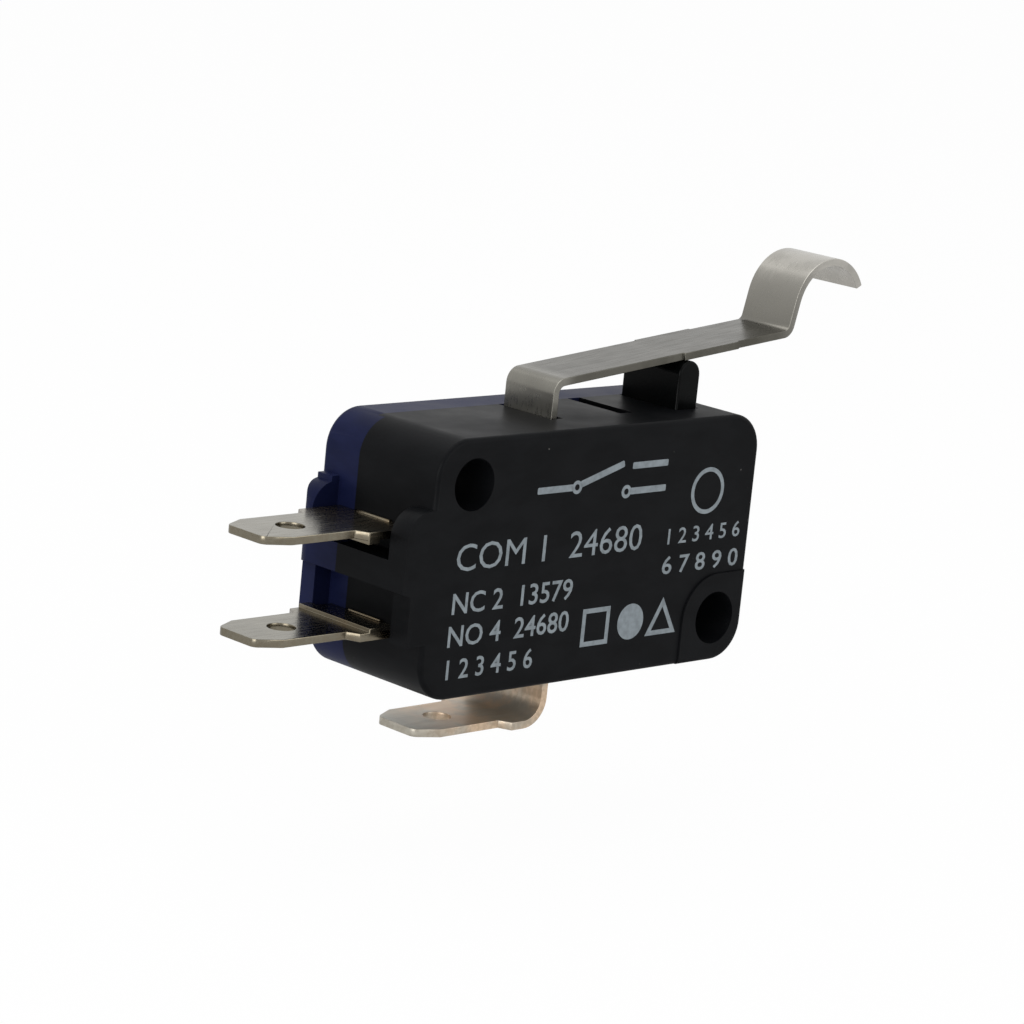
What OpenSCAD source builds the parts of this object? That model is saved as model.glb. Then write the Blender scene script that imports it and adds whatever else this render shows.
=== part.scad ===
// Lever micro switch: a snap-action changeover switch in a two-part moulded housing.
// A long lever with a rolled tip hinges in the top wall and presses a plunger. The plunger tips
// an inner lever, a tension spring passes over centre, and the contact blade snaps across.
// Lengths are millimetres. X runs along the body, Y into its depth, Z up. The origin is on the
// axis of the lower mounting hole, in the plane of the pad round it.

/* [Housing] */
// Depth of the body, from the mounting pad to the back
body_d = 10.3; // [10.1:0.1:11.5]
// Radius of the four corners
corner_r = 2.4; // [1.8:0.1:3]
// Rounding of the front edges
front_edge_r = 0.3; // [0.1:0.05:0.5]
// Rounding of the back edges
back_edge_r = 0.4; // [0.1:0.05:0.6]
// Thickness of the walls
wall = 1.2; // [1:0.05:1.25]
// Depth of the parting line in the long walls
parting_d = 7.65; // [7.5:0.05:8]
// Depth of the parting line in the terminal end
end_parting_d = 7.05; // [7:0.05:7.3]
// Height of the pad round the lower mounting hole
pad_proud = 0.12; // [0.05:0.01:0.3]
// Radius of the pad round the lower mounting hole
pad_r = 2.9; // [2.4:0.1:3.2]

/* [Mounting holes] */
// Distance between the two holes along the body
hole_pitch_x = 22.2; // [22:0.1:22.4]
// Distance between the two holes up the body
hole_pitch_z = 10.3; // [10.2:0.1:10.4]
// Distance of the upper hole from the terminal end
hole_high_x = 3.0; // [2.9:0.1:3.1]
// Distance of the lower hole from the plunger end
hole_low_end = 2.6; // [2.5:0.1:3]
// Height of the lower hole above the base
hole_low_z = 2.8; // [2.6:0.1:3]
// Drop of the upper hole below the top
hole_high_drop = 2.8; // [2.8:0.1:3]
// Radius of the upper hole
hole_high_r = 1.6; // [1.3:0.05:1.7]
// Radius of the lower hole
hole_low_r = 1.7; // [1.4:0.05:1.8]
// Wall of the tubes round the mounting holes
boss_wall = 0.8; // [0.6:0.05:0.85]
// Radius of the locating pins on the cover
pin_r = 0.6; // [0.4:0.05:0.7]
// Distance of the first pin from the terminal end
pin_near = 2.4; // [2.3:0.1:3]
// Distance of the second pin from the plunger end
pin_far = 8.2; // [7:0.1:9]
// Height of the pins above the base
pin_z = 2.2; // [2:0.1:2.6]
// Length of the pins
pin_l = 2.0; // [1:0.1:2.5]

/* [Terminal block] */
// Reach of the cheeks and the barrier from the end wall
cheek_reach = 1.98; // [1.5:0.02:2.4]
// Reach of the cheeks below the barrier
cheek_low_reach = 1.3; // [1:0.05:1.5]
// Height of the cheeks' top
cheek_top_z = 11.75; // [11.5:0.05:12.2]
// Radius of the cheeks' top corner
cheek_r = 1.7; // [1:0.05:1.9]
// Radius of the back cheek's rear corner
cheek_back_r = 1.15; // [0.6:0.05:1.3]
// Length of the ledge on the back cheek
ledge_l = 0.6; // [0.3:0.05:1]
// Height of the ledge on the back cheek
ledge_h = 0.3; // [0.1:0.05:0.5]
// Height of the cheeks' lower end
cheek_low_z = 3.6; // [3:0.05:3.65]
// Depth of the front cheek's inner face
cheek_front_d = 1.6; // [1.2:0.05:1.85]
// Depth of the back cheek's inner face
cheek_back_d = 8.6; // [8.45:0.05:8.8]
// Underside of the barrier between the two terminals
barrier_low_z = 6.9; // [6:0.05:7.2]
// Thickness of the barrier
barrier_t = 1.75; // [1:0.05:1.9]
// Depth at which the cover's share of the barrier begins
barrier_split_d = 6.1; // [5:0.05:7]

/* [Terminals] */
// Thickness of the terminal sheet
tab_t = 0.5; // [0.4:0.05:0.6]
// Width of the push-on tabs
tab_w = 4.75; // [4.5:0.05:4.9]
// Length of the push-on tabs, up to where they widen
tab_l = 6.4; // [6.2:0.05:7]
// Length of the chamfers at the tip
tip_chamfer_l = 1.6; // [0.8:0.05:2]
// Width of the chamfers at the tip
tip_chamfer_w = 0.8; // [0.4:0.05:1]
// Rounding of the corners at the tip
tip_round = 0.6; // [0.2:0.05:0.8]
// Radius of the latch hole
latch_hole_r = 0.875; // [0.6:0.025:1]
// Distance of the latch hole from the tip
latch_hole_from_tip = 3.45; // [3.2:0.05:3.6]
// Length of the flare from tab to shoulder
flare_l = 0.4; // [0.2:0.05:0.8]
// Width of the shoulders
shoulder_w = 6.4; // [6:0.05:6.5]
// Length of the shoulders outside the end wall
shoulder_l = 3.7; // [3.6:0.05:4.2]
// Height of the normally closed tab's underside
nc_tab_z = 9.82; // [9.8:0.02:9.9]
// Height of the normally open tab's underside
no_tab_z = 3.73; // [3.7:0.02:3.8]
// Width of the tongue through the end wall
tongue_w = 2.9; // [2.5:0.05:2.95]
// Height of the stiffening ridge across the shoulders
ridge_h = 0.25; // [0.1:0.05:0.4]
// Width of the stiffening ridge
ridge_w = 0.85; // [0.5:0.05:1]
// Distance of the ridge from the end wall on the normally open terminal
no_ridge_x = 1.75; // [1:0.05:2.6]
// Distance of the ridge from the end wall on the normally closed terminal
nc_ridge_x = 2.45; // [1:0.05:2.6]
// Distance of the common terminal's leg from the end wall
com_x = 12.3; // [12.2:0.05:12.35]
// Drop of the common tab's underside below the base
com_drop = 3.3; // [3:0.05:4]
// Distance of the common tab's tip from the end wall
com_tip_x = 3.2; // [2.8:0.05:3.6]
// Inner radius of the common terminal's bend
com_bend_r = 1.3; // [0.5:0.05:1.6]
// Top of the common terminal's two arms
com_top_z = 9.0; // [8.4:0.1:9.6]
// Bottom of the gap between the two arms
com_gap_z = 5.9; // [5.6:0.05:6.2]
// Width of the gap between the two arms
com_gap_w = 3.6; // [3.2:0.05:3.8]

/* [Contacts] */
// Distance of the contacts from the end wall
contact_x = 3.9; // [3.85:0.05:4]
// Radius of the contacts
contact_r = 1.5; // [1.2:0.05:1.55]
// Thickness of a contact's head
contact_t = 0.6; // [0.4:0.05:0.6]
// Radius of a contact's shank
shank_r = 0.75; // [0.5:0.05:0.8]
// Thickness of the riveted end of a fixed contact
rivet_t = 0.2; // [0.1:0.05:0.25]
// Radius of the riveted end of a fixed contact
rivet_r = 1.1; // [0.9:0.05:1.3]
// Opening of the contacts at rest
contact_gap = 1.06; // [1.04:0.01:1.1]
// Total thickness of the moving contact
moving_t = 1.4; // [1.2:0.02:1.4]

/* [Contact blade] */
// Thickness of the contact blade
blade_t = 0.3; // [0.2:0.02:0.34]
// Height of the blade's pivot above the base
blade_z = 7.54; // [7.5:0.01:7.6]
// Gap between the tines of blade and inner lever
tine_gap = 4.0; // [3.8:0.05:4.1]
// Width of one tine
tine_w = 0.95; // [0.7:0.05:1]
// Distance of the blade's free end from the end wall
blade_tip_x = 2.1; // [1.8:0.05:2.3]
// Width of the blade's contact end
blade_pad_w = 3.6; // [3.2:0.05:3.9]
// Distance from the end wall to the blade's fork
blade_fork_x = 7.2; // [7.15:0.05:7.3]
// Length of the web before the blade's fork
blade_web_l = 1.6; // [1.2:0.1:2]

/* [Inner lever] */
// Thickness of the inner lever
inner_t = 0.4; // [0.3:0.02:0.44]
// Slope of the inner lever at rest
inner_slope = 30.5; // [30.3:0.1:30.7]
// Height of the inner lever's pivot above the base
inner_pivot_z = 5.0; // [4.9:0.05:5.1]
// Length of the inner lever beyond the plunger
inner_past = 0.95; // [0.4:0.05:1.1]
// Width of the inner lever past its fork
inner_w = 5.1; // [4.6:0.1:5.5]
// Distance from the pivot to the middle of the spring's bar
bar_u = 6.61; // [6.58:0.01:6.64]
// Width of the spring's bar
bar_w = 0.55; // [0.4:0.01:0.58]
// Length of the slot beyond the spring's bar
bar_slot_l = 0.9; // [0.85:0.01:1.1]

/* [Snap spring] */
// Radius of the spring's wire
wire_r = 0.13; // [0.1:0.005:0.14]
// Mean radius of the coil and its two end loops
coil_r = 0.77; // [0.75:0.005:0.78]
// Number of turns
coil_turns = 15; // [10:1:18]

/* [Plunger] */
// Distance of the plunger's middle from the plunger end
plunger_end = 4.35; // [4.1:0.05:4.6]
// Radius of the plunger's crown, which is half its width
crown_r = 0.95; // [0.8:0.05:1]
// Length of the plunger in the depth
plunger_l = 4.9; // [4.4:0.1:4.9]
// Radius of the plunger's foot
foot_r = 0.8; // [0.6:0.05:0.85]
// Length of the foot in the depth
foot_l = 3.0; // [2:0.1:3.6]
// Height of the plunger's flange
flange_h = 1.0; // [0.6:0.05:1.1]
// Width that the flange stands out on each side
flange_out = 0.5; // [0.3:0.05:0.6]

/* [Lever] */
// Thickness of the lever
lever_t = 0.5; // [0.4:0.02:0.54]
// Width of the lever
lever_w = 4.2; // [3.8:0.1:4.3]
// Extra width of the lever over the plunger
lever_extra_w = 0.3; // [0.1:0.05:0.4]
// Length of the wider part
wide_l = 5.0; // [3:0.1:6]
// Distance that the wider part starts before the plunger's middle
wide_before = 0.3; // [0:0.05:1]
// Distance of the hinge from the end wall
hinge_x = 12.05; // [11.9:0.05:12.2]
// Drop of the hinge below the top of the body
hinge_drop = 1.8; // [1.75:0.05:1.9]
// Rise of the bend's centre above the top of the body
bend_rise = 1.49; // [1.4:0.01:1.7]
// Inner radius of the bend above the leg
bend_r = 0.5; // [0.3:0.05:0.7]
// Slope of the arm at rest
arm_slope = 5.9; // [5.6:0.1:6.2]
// Length of the arm between its two bends
arm_l = 19.8; // [18:0.1:24]
// Inner radius of the bend up to the tip
tip_bend_r = 0.45; // [0.3:0.05:0.8]
// Angle that the strip turns up before the tip
tip_rise_angle = 71; // [60:1:80]
// Length of the straight rise before the tip
tip_rise_l = 1.65; // [1:0.1:3]
// Inner radius of the rolled tip
tip_r = 2.9; // [2:0.1:4]
// Angle of the rolled tip
tip_angle = 140; // [110:1:160]
// Length of the two hinge lugs together, in the depth
lug_l = 5.6; // [5.2:0.1:5.8]
// Height of the hinge lugs
lug_h = 0.7; // [0.5:0.05:0.75]
// Distance of the spare hinge slot from the end wall
spare_x = 18.3; // [17:0.1:19]

/* [Fits] */
// Play of the plunger in its opening, on each side
plunger_play = 0.08; // [0.05:0.01:0.1]
// Gap where one piece bears on another at rest
bearing_gap = 0.04; // [0.03:0.005:0.05]
// Play of a terminal in its slot, on each side
slot_play = 0.03; // [0.02:0.01:0.05]

/* [Colours] */
// Colour of the case and the plunger
case_colour = "#1d1f22";
// Colour of the cover
cover_colour = "#2a2c62";
// Colour of the lever
lever_colour = "#a8a39b";
// Colour of the terminals
terminal_colour = "#c9c2b4";
// Colour of the contacts
contact_colour = "#dfe0e2";
// Colour of the blade and the inner lever
blade_colour = "#c08a4a";

/* [Hidden] */
$fn = 64;
// Small overlap that lets a cut run past a face
over = 0.5;

// The body's length and height follow from the mounting holes and the walls beyond them
hole_low_x = hole_high_x + hole_pitch_x;
hole_high_z = hole_low_z + hole_pitch_z;
body_l = hole_low_x + hole_low_end;
body_h = hole_high_z + hole_high_drop;
mid_d = body_d / 2;
back_inner_d = body_d - wall;
top_inner_z = body_h - wall;
// Place where the end wall's parting line steps to that of the long walls
step_x = 1.8;
// Places of the two locating pins, as x and height
pins = [[pin_near, pin_z], [body_l - pin_far, pin_z]];
pin_wall = 0.6;

// Terminals: the height of the fixed contact pads follows from the blade
nc_face_z = blade_z + moving_t / 2 + bearing_gap;
no_face_z = blade_z - moving_t / 2 - contact_gap;
nc_pad_z = nc_face_z + contact_t;
no_pad_z = no_face_z - contact_t - tab_t;
// Pad that carries a fixed contact
pad_past = 0.2;
pad_end_x = contact_x + contact_r + pad_past;
pad_w = 3.6;
// Crank that takes the strip from the tab's height to the pad's
crank_x = 1.35;
crank_angle = 50;
crank_r = 0.15;
// Lip where a tab meets the end wall
lip_l = 0.25;
lip_h = 0.12;

// Pivots of the blade and the inner lever, as x and height, and how far they sit off the leg
blade_nose_r = blade_t / 2;
inner_nose_r = inner_t / 2;
blade_seat = 0.08;
inner_seat = 0.1;
blade_pivot = [com_x - blade_seat, blade_z];
inner_pivot = [com_x + tab_t + inner_seat, inner_pivot_z];

// Spring: its loops' centres at rest, and how far it stretches when the switch is pressed
loop_inset = 0.46;
wire_play = 0.07;
loop_a = [blade_fork_x - loop_inset, blade_z];
bar_centre = inner_pivot + bar_u * [cos(inner_slope), sin(inner_slope)];
stretch = 0.385;
spring_slope = atan2(bar_centre.y - loop_a.y, bar_centre.x - loop_a.x);
spring_l = norm(bar_centre - loop_a) + stretch - bar_w / 2;
loop_hole_r = wire_r + wire_play;

// Lever: the centre of its first bend, and the height of its underside over the plunger
plunger_x = body_l - plunger_end;
hinge_z = body_h - hinge_drop;
bend_z = body_h + bend_rise;
bend_x = hinge_x + bend_r + lever_t / 2;
under_z = bend_z + bend_r / cos(arm_slope) + (plunger_x - bend_x) * tan(arm_slope);
leg_low_z = hinge_z - lug_h / 2;
wide_from = plunger_x - bend_x - wide_before;
// Pockets for the lever's lugs, and the slots that lead to them
pocket_half_w = 0.5;
pocket_h = 1.1;
pocket_wall = 0.6;
pocket_end_d = 8.3;
lug_play = 0.1;
slot_back = 0.3;
slot_front = 0.68;
spare_slot_w = 0.5;

// Guides beside the common terminal's leg
com_guide_z = 3.5;
com_guide_w = 1.1;

// Plunger: its crown touches the lever and its foot the inner lever
inner_l = (plunger_x - inner_pivot.x) / cos(inner_slope) + inner_past;
crown_z = under_z - (crown_r + bearing_gap) / cos(arm_slope);
foot_z = inner_pivot.y + (plunger_x - inner_pivot.x) * tan(inner_slope)
       + (foot_r + inner_t / 2 + bearing_gap) / cos(inner_slope);
flange_z = top_inner_z - bearing_gap - flange_h;

// ---- Shapes that several pieces use ----

// Moves the housing's lower left front corner to its place beside the lower mounting hole
module placed() {
    translate([-hole_low_x, 0, -hole_low_z]) children();
}

// Stands up what is drawn lying down: its Y becomes height and its Z becomes depth
module stand() {
    mirror([0, 1, 0]) rotate([90, 0, 0]) children();
}

// Extrudes an outline of x and height from one depth to another
module section(from, to) {
    translate([0, from, 0]) stand() linear_extrude(to - from) children();
}

// Round bar along the depth
module bar(place, r, from, to) {
    translate([place.x, from, place.y]) rotate([-90, 0, 0]) cylinder(r = r, h = to - from);
}

// Box between two corners, each given as x, depth and height
module box(low, high) {
    translate(low) cube(high - low);
}

module rounded_rect(l, h, r) {
    for (x = [r, l - r], y = [r, h - r]) translate([x, y]) circle(r);
    translate([r, 0]) square([l - 2 * r, h]);
    translate([0, r]) square([l, h - 2 * r]);
}

// Half section of a rounded block at one of its sides, with the front edge rounded
module edge_profile(reach, depth, edge) {
    square([reach - edge, depth]);
    translate([0, edge]) square([reach, depth - edge]);
    translate([reach - edge, edge]) circle(edge);
}

// Block with round corners whose lower edges are rounded all the way round
module rounded_block(l, h, corner, depth, edge) {
    starts = [[l - corner, h - corner, h - 2 * corner], [corner, h - corner, l - 2 * corner],
              [corner, corner, h - 2 * corner], [l - corner, corner, l - 2 * corner]];
    translate([corner, corner, 0]) cube([l - 2 * corner, h - 2 * corner, depth]);
    for (side = [0:3]) translate([starts[side].x, starts[side].y, 0]) rotate(90 * side) {
        rotate_extrude(angle = 90) edge_profile(corner, depth, edge);
        rotate([90, 0, 0]) linear_extrude(starts[side].z) edge_profile(corner, depth, edge);
    }
}

// Inside of the housing, from one depth to another, kept a gap away from the walls
module hollow(from, to, gap = 0) {
    inset = wall + gap;
    section(from, to) translate([inset, inset])
        rounded_rect(body_l - 2 * inset, body_h - 2 * inset, corner_r - inset);
}

// Round post in the case; past the parting line it keeps clear of the cover's walls
module post(place, r, to) {
    bar(place, r, wall / 2, end_parting_d);
    intersection() {
        bar(place, r, end_parting_d - over, to);
        hollow(end_parting_d - over, to, slot_play);
    }
}

// Strip of sheet metal that starts at the origin along X and follows a list of steps:
// [length, 0, width] runs straight on, and [inner radius, angle, width] bends up or down
module bent_strip(steps, thick, at = 0) {
    if (at < len(steps)) {
        size = steps[at][0];
        turn = steps[at][1];
        wide = steps[at][2];
        if (turn == 0) {
            translate([0, -wide / 2, -thick / 2]) cube([size, wide, thick]);
            translate([size, 0, 0]) bent_strip(steps, thick, at + 1);
        } else {
            centre = sign(turn) * (size + thick / 2);
            translate([0, 0, centre]) stand() rotate(turn > 0 ? -90 : 90 + turn)
                rotate_extrude(angle = abs(turn))
                translate([size, -wide / 2]) square([thick, wide]);
            translate([0, 0, centre]) rotate([0, -turn, 0]) translate([0, 0, -centre])
                bent_strip(steps, thick, at + 1);
        }
    }
}

// ---- Case ----

// Outline of the pad that fills the corner round the lower mounting hole
module pad_outline() {
    translate([hole_low_x, hole_low_z]) {
        circle(pad_r);
        translate([-pad_r, -2 * pad_r]) square([4 * pad_r, 2 * pad_r]);
        translate([0, -pad_r]) square([3 * pad_r, 2 * pad_r]);
    }
}

// Outline of the cheeks beside the terminals
module cheek_outline() {
    round_x = cheek_r - cheek_reach;
    round_z = cheek_top_z - cheek_r;
    translate([round_x, round_z]) circle(cheek_r);
    translate([round_x, round_z]) square([over - round_x, cheek_r]);
    translate([-cheek_reach, barrier_low_z]) square([cheek_reach + over, round_z - barrier_low_z]);
    polygon([[-cheek_low_reach, cheek_low_z], [over, cheek_low_z], [over, barrier_low_z],
             [-cheek_reach, barrier_low_z], [-cheek_low_reach, barrier_low_z - over / 2]]);
}

// Part of the walls where the parting line lies further forward
module end_step(from, to) {
    box([-over, from, -over], [step_x, to, body_h + over]);
}

// Hinge block under the top wall
module hinge_block(x) {
    half_w = pocket_half_w + pocket_wall;
    low_z = top_inner_z - pocket_h - pocket_wall;
    box([x - half_w, wall / 2, low_z], [x + half_w, parting_d, top_inner_z + wall / 2]);
    box([x - half_w, wall / 2, low_z], [x + half_w, pocket_end_d, top_inner_z - slot_play]);
}

// Pocket for the hinge lugs, open to the back
module hinge_pocket(x) {
    box([x - pocket_half_w, mid_d - lug_l / 2 - lug_play, top_inner_z - pocket_h],
        [x + pocket_half_w, pocket_end_d + over, top_inner_z]);
}

// Slot in the top wall, open to the parting line
module top_slot(from_x, to_x, from_d) {
    box([from_x, from_d, top_inner_z - pocket_h / 2], [to_x, parting_d + over, body_h + over]);
}

// Slot for a terminal's tongue through the end wall
module tongue_slot(z) {
    box([-over, mid_d - tongue_w / 2 - bearing_gap, z - slot_play],
        [wall + over, end_parting_d + over, z + tab_t + slot_play]);
}

// Slot for the common terminal's leg through the base
module leg_slot(to_d) {
    box([com_x - slot_play, mid_d - shoulder_w / 2 - bearing_gap, -over],
        [com_x + tab_t + slot_play, to_d, com_guide_z + over]);
}

module case() {
    color(case_colour) placed() difference() {
        union() {
            difference() {
                union() {
                    translate([0, pad_proud, 0]) stand()
                        rounded_block(body_l, body_h, corner_r, parting_d - pad_proud, front_edge_r);
                    intersection() {
                        stand() rounded_block(body_l, body_h, corner_r, parting_d, front_edge_r);
                        section(0, wall / 2) pad_outline();
                    }
                }
                hollow(wall, parting_d + over);
                end_step(end_parting_d, parting_d + over);
            }
            // Tubes round the mounting holes
            post([hole_low_x, hole_low_z], hole_low_r + boss_wall, back_inner_d);
            post([hole_high_x, hole_high_z], hole_high_r + boss_wall, back_inner_d);
            // Sockets for the cover's pins
            for (pin = pins) post(pin, pin_r + pin_wall, back_inner_d - slot_play);
            // Guides beside the common terminal's leg
            for (x = [com_x - slot_play - com_guide_w, com_x + tab_t + slot_play])
                box([x, wall / 2, wall / 2], [x + com_guide_w, parting_d, com_guide_z]);
            hinge_block(hinge_x);
            hinge_block(spare_x);
            // Front cheek and the case's share of the barrier
            section(pad_proud, cheek_front_d) cheek_outline();
            box([-cheek_reach, pad_proud, barrier_low_z],
                [over, barrier_split_d, barrier_low_z + barrier_t]);
        }
        bar([hole_low_x, hole_low_z], hole_low_r, -over, body_d);
        bar([hole_high_x, hole_high_z], hole_high_r, -over, body_d);
        for (pin = pins) bar(pin, pin_r + bearing_gap, back_inner_d - pin_l - over, body_d);
        hinge_pocket(hinge_x);
        hinge_pocket(spare_x);
        top_slot(hinge_x - slot_back, hinge_x + slot_front, mid_d - lever_w / 2 - lug_play);
        top_slot(spare_x - spare_slot_w / 2, spare_x + spare_slot_w / 2,
                 mid_d - lever_w / 2 + lug_play);
        top_slot(plunger_x - crown_r - plunger_play, plunger_x + crown_r + plunger_play,
                 mid_d - plunger_l / 2 - plunger_play);
        tongue_slot(nc_tab_z);
        tongue_slot(no_tab_z);
        leg_slot(parting_d + over);
    }
}

// ---- Cover ----

// The back cheek from above, with its rear corner rounded
module cheek_plan() {
    back_d = body_d - back_edge_r;
    translate([cheek_back_r - cheek_reach, back_d - cheek_back_r]) circle(cheek_back_r);
    translate([cheek_back_r - cheek_reach, cheek_back_d])
        square([cheek_reach + over - cheek_back_r, back_d - cheek_back_d]);
    translate([-cheek_reach, cheek_back_d - over])
        square([cheek_reach, back_d - cheek_back_r - cheek_back_d + over]);
}

module cover() {
    color(cover_colour) placed() {
        difference() {
            union() {
                difference() {
                    union() {
                        translate([0, body_d, 0]) mirror([0, 1, 0]) stand()
                            rounded_block(body_l, body_h, corner_r, body_d - parting_d, back_edge_r);
                        intersection() {
                            section(end_parting_d, parting_d) rounded_rect(body_l, body_h, corner_r);
                            end_step(end_parting_d, parting_d);
                        }
                    }
                    hollow(end_parting_d - over, back_inner_d);
                }
                // Back cheek, rounded off towards the back, with its ledge
                intersection() {
                    union() {
                        section(cheek_back_d, body_d) cheek_outline();
                        section(cheek_back_d, body_d) translate([-ledge_l, cheek_top_z - cheek_r])
                            square([ledge_l + over, cheek_r + ledge_h]);
                    }
                    linear_extrude(body_h) cheek_plan();
                }
                // Cover's share of the barrier
                box([-cheek_reach, barrier_split_d, barrier_low_z],
                    [0, cheek_back_d, barrier_low_z + barrier_t]);
                box([-cheek_reach, end_parting_d, barrier_low_z],
                    [over, cheek_back_d, barrier_low_z + barrier_t]);
            }
            bar([hole_low_x, hole_low_z], hole_low_r, parting_d - over, body_d + over);
            bar([hole_high_x, hole_high_z], hole_high_r, back_inner_d - over, body_d + over);
            // Room for the back edge of the common terminal's leg
            box([com_x - slot_play, parting_d - over, -over],
                [com_x + tab_t + slot_play, mid_d + shoulder_w / 2 + bearing_gap, wall + over]);
        }
        // Locating pins
        for (pin = pins) bar(pin, pin_r, back_inner_d - pin_l, back_inner_d + wall / 2);
        // Stops behind the two hinge pockets
        for (x = [hinge_x, spare_x])
            box([x - pocket_half_w, pocket_end_d + bearing_gap, top_inner_z - pocket_h],
                [x + pocket_half_w, back_inner_d + wall / 2, top_inner_z + wall / 2]);
    }
}

// ---- Terminals ----

// Outline of a push-on tab with its shoulders, from the tip at x = 0
module tab_outline(shoulder) {
    slant = atan2(tip_chamfer_w, tip_chamfer_l);
    round_y = tab_w / 2 - tip_chamfer_w - tip_round * tan(45 - slant / 2);
    widths = [[0, round_y], tip_round * [1 - sin(slant), cos(slant)] + [0, round_y],
              [tip_chamfer_l, tab_w / 2], [tab_l, tab_w / 2],
              [tab_l + flare_l, shoulder_w / 2], [tab_l + flare_l + shoulder, shoulder_w / 2]];
    difference() {
        union() {
            polygon(concat([for (point = widths) point],
                           [for (i = [len(widths) - 1:-1:0]) [widths[i].x, -widths[i].y]]));
            for (side = [-1, 1]) translate([tip_round, side * round_y]) circle(tip_round);
        }
        translate([latch_hole_from_tip, 0]) circle(latch_hole_r);
    }
}

// Terminal through the end wall: tab, tongue, crank and pad, with its ridge above or below
module end_terminal(tab_z, pad_z, ridge_x, ridge_side) {
    shoulder = shoulder_l - flare_l;
    tip_x = -tab_l - shoulder_l;
    rise = pad_z - tab_z;
    turn = sign(rise) * crank_angle;
    bend = crank_r + tab_t / 2;
    slope_l = (abs(rise) - 2 * bend * (1 - cos(crank_angle))) / sin(crank_angle);
    pad_l = 2 * contact_r;
    run_out = pad_end_x - pad_l - crank_x - 2 * bend * sin(crank_angle) - slope_l * cos(crank_angle);
    translate([tip_x, mid_d, tab_z]) linear_extrude(tab_t) tab_outline(shoulder);
    translate([0, mid_d, tab_z + tab_t / 2])
        bent_strip([[crank_x, 0, tongue_w], [crank_r, turn, tongue_w], [slope_l, 0, tongue_w],
                    [crank_r, -turn, tongue_w], [run_out, 0, tongue_w], [pad_l, 0, pad_w]], tab_t);
    // Ridge across the shoulders, and the lip at the wall
    ridge_z = ridge_side > 0 ? tab_z + tab_t : tab_z - ridge_h;
    box([-ridge_x - ridge_w, mid_d - shoulder_w / 2, ridge_z],
        [-ridge_x, mid_d + shoulder_w / 2, ridge_z + ridge_h]);
    box([-lip_l, mid_d - tongue_w / 2, tab_z + tab_t],
        [0, mid_d + tongue_w / 2, tab_z + tab_t + lip_h]);
}

// Hole for a contact's shank
module shank_hole(z) {
    translate([contact_x, mid_d, z - over]) cylinder(r = shank_r, h = tab_t + 2 * over);
}

module nc_terminal() {
    color(terminal_colour) placed() difference() {
        end_terminal(nc_tab_z, nc_pad_z, nc_ridge_x, -1);
        shank_hole(nc_pad_z);
    }
}

module no_terminal() {
    color(terminal_colour) placed() difference() {
        end_terminal(no_tab_z, no_pad_z, no_ridge_x, 1);
        shank_hole(no_pad_z);
    }
}

module com_terminal() {
    bend = com_bend_r + tab_t / 2;
    shoulder = com_x + tab_t / 2 - bend - com_tip_x - tab_l - flare_l;
    low_z = -com_drop + tab_t / 2;
    color(terminal_colour) placed() difference() {
        union() {
            translate([com_tip_x, mid_d, -com_drop]) linear_extrude(tab_t) tab_outline(shoulder);
            translate([com_x + tab_t / 2 - bend, mid_d, low_z])
                bent_strip([[com_bend_r, 90, shoulder_w],
                            [com_top_z - low_z - bend, 0, shoulder_w]], tab_t);
        }
        box([com_x - over, mid_d - com_gap_w / 2, com_gap_z],
            [com_x + tab_t + over, mid_d + com_gap_w / 2, com_top_z + over]);
        // Bearing notches of the blade and the inner lever
        bar(blade_pivot, blade_nose_r + bearing_gap, 0, body_d);
        bar(inner_pivot, inner_nose_r + bearing_gap, 0, body_d);
    }
}

// ---- Contacts ----

// Fixed contact with its shank riveted up through the pad
module fixed_contact() {
    cylinder(r = contact_r, h = contact_t);
    cylinder(r = shank_r, h = contact_t + tab_t + rivet_t);
    translate([0, 0, contact_t + tab_t]) cylinder(r = rivet_r, h = rivet_t);
}

module nc_contact() {
    color(contact_colour) placed() translate([contact_x, mid_d, nc_face_z]) fixed_contact();
}

// The normally open contact is the other one upside down
module no_contact() {
    color(contact_colour) placed() translate([contact_x, mid_d, no_face_z])
        mirror([0, 0, 1]) fixed_contact();
}

module moving_contact() {
    head_t = (moving_t - blade_t) / 2;
    color(contact_colour) placed() translate([contact_x, mid_d, blade_z]) {
        translate([0, 0, -moving_t / 2]) cylinder(r = contact_r, h = head_t);
        translate([0, 0, blade_t / 2]) cylinder(r = contact_r, h = head_t);
        translate([0, 0, -moving_t / 2]) cylinder(r = shank_r, h = moving_t);
    }
}

// ---- Contact blade ----

module contact_blade() {
    half_w = tine_gap / 2 + tine_w;
    color(blade_colour) placed() {
        translate([0, mid_d, blade_z - blade_t / 2]) linear_extrude(blade_t) difference() {
            union() {
                translate([blade_tip_x, -blade_pad_w / 2])
                    square([blade_fork_x - blade_tip_x, blade_pad_w]);
                translate([blade_fork_x - blade_web_l, -half_w])
                    square([blade_pivot.x - blade_fork_x + blade_web_l, 2 * half_w]);
            }
            translate([blade_fork_x, -tine_gap / 2]) square([blade_pivot.x, tine_gap]);
            translate([contact_x, 0]) circle(shank_r);
            translate([loop_a.x - coil_r, 0]) circle(loop_hole_r);
        }
        for (side = [-1, 1]) bar(blade_pivot, blade_nose_r,
            mid_d + side * (tine_gap + tine_w) / 2 - tine_w / 2,
            mid_d + side * (tine_gap + tine_w) / 2 + tine_w / 2);
    }
}

// ---- Inner lever ----

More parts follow.
